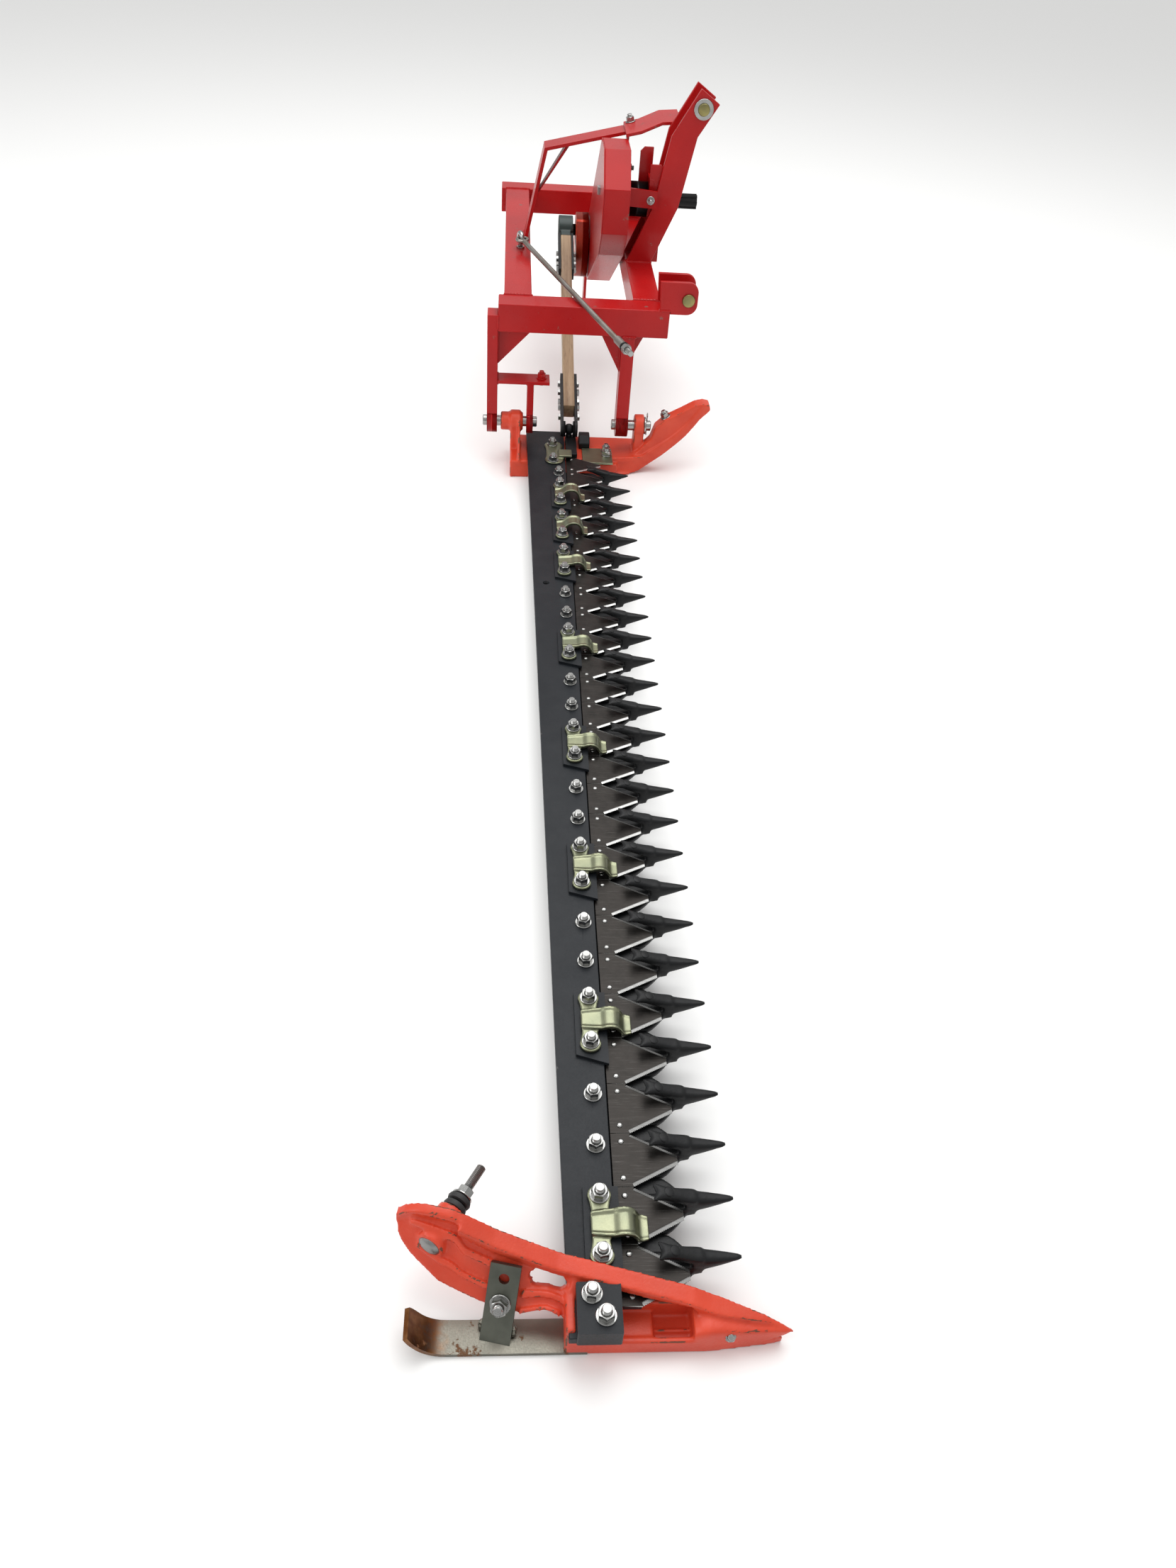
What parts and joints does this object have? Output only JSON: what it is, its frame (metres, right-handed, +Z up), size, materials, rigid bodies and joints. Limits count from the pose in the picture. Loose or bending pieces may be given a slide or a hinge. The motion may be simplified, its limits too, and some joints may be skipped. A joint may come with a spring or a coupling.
{
  "type": "sickle bar mower",
  "caption": "Tractor-mounted sickle bar mower: folding finger bar with sliding knife on two shoes, belt-driven crank and wooden pitman on a tube headstock with three-point hitch.",
  "frame": {"origin": "on the ground under the middle of the inner shoe", "axes": "+X the way it travels, +Y from the cutter bar to the headstock, +Z up"},
  "size_m": [0.5949, 3.2275, 0.79],
  "materials": {
    "red_paint": "gloss red enamel over welded steel",
    "bright_steel": "bright zinc plate",
    "dull_steel": "bare steel with light rust",
    "yellow_zinc": "pale yellow zinc plate",
    "black_cast": "satin black paint on castings",
    "bar_steel": "slate black bar steel",
    "knife_steel": "hardened blade steel with ground serrated bevels",
    "orange_cast": "orange red paint on castings",
    "belt_rubber": "black rubber",
    "ash_wood": "oiled straight-grained hardwood",
    "green_paint": "dark green paint on a bearing housing"
  },
  "bodies": {
    "frame": {"near_beam": "red_paint", "rear_beam": "red_paint", "far_beam": "red_paint", "front_beam": "red_paint", "rear_leg": "red_paint", "rear_bracket": "red_paint", "front_leg": "red_paint", "leg_gussets": "red_paint", "hinge_pins": "bright_steel", "mast_straps": "red_paint", "mast_brace": "red_paint", "top_link_pin": "yellow_zinc", "lower_clevises": "red_paint", "lower_link_pins": "yellow_zinc", "pin_washers": "bright_steel", "guard_arm": "red_paint", "belt_guard": "red_paint", "guard_back_plate": "red_paint", "input_housing": "black_cast", "bearing_plate": "red_paint", "crank_housing": "black_cast", "bearings": "bright_steel", "frame_bolts": "bright_steel", "eye_bolt": "dull_steel", "parking_stand": "red_paint", "drive_belts": "belt_rubber"},
    "input": {"input_shaft": "bright_steel", "drive_pulley": "black_cast"},
    "crank": {"crank_shaft": "bright_steel", "crank_pulley": "black_cast", "flywheel": "orange_cast", "crank_pin": "bright_steel"},
    "stay": {"stay_rod": "dull_steel"},
    "bar": {"cutter_bar": "bar_steel", "guards_inner": "black_cast", "guards_middle": "black_cast", "guards_outer": "black_cast", "guard_bolts": "bright_steel", "wear_plates": "black_cast", "low_clips": "yellow_zinc", "arched_clips": "yellow_zinc", "inner_shoe": "orange_cast", "shoe_bolts": "bright_steel", "head_cap": "yellow_zinc", "head_guide": "black_cast", "guide_plate": "yellow_zinc", "outer_shoe": "orange_cast", "end_block": "black_cast", "skid": "dull_steel", "swath_stud": "bright_steel", "rubber_washers": "belt_rubber"},
    "knife": {"knife_bar": "bar_steel", "sections": "knife_steel", "rivets": "bright_steel", "knife_head": "black_cast"},
    "pitman": {"pitman_rod": "ash_wood", "pitman_straps": "black_cast", "pitman_bolts": "bright_steel", "big_end": "green_paint", "ball_jaws": "black_cast"}
  },
  "joints": [
    {"name": "bar_fold", "type": "hinge", "parent": "frame", "child": "bar", "pos_m": [0, 0.045, 0.105], "axis": [-1, 0, 0], "range_deg": [0, 90]},
    {"name": "knife_slide", "type": "slide", "parent": "bar", "child": "knife", "axis": [0, 1, 0], "range_m": [-0.0572, 0.019]},
    {"name": "pitman_swing", "type": "hinge", "parent": "knife", "child": "pitman", "pos_m": [0.03, 0.064, 0.08], "axis": [-1, 0, 0], "range_deg": [-90, 0]},
    {"name": "crank_spin", "type": "hinge", "parent": "frame", "child": "crank", "pos_m": [0.2, 0.76, 0.307], "axis": [1, 0, 0], "continuous": true},
    {"name": "input_spin", "type": "hinge", "parent": "frame", "child": "input", "pos_m": [0.2, 0.405, 0.533], "axis": [1, 0, 0], "continuous": true},
    {"name": "stay_lift", "type": "hinge", "parent": "frame", "child": "stay", "pos_m": [-0.098, 0.428, 0.42], "axis": [-0.9385, -0.3453, 0], "range_deg": [0, 75]}
  ],
  "couplings": [
    {"joint": "pitman_swing", "follows": "bar_fold", "ratio": -1},
    {"joint": "stay_lift", "follows": "bar_fold", "ratio": 0.83333},
    {"joint": "input_spin", "follows": "crank_spin", "ratio": 0.625}
  ]
}
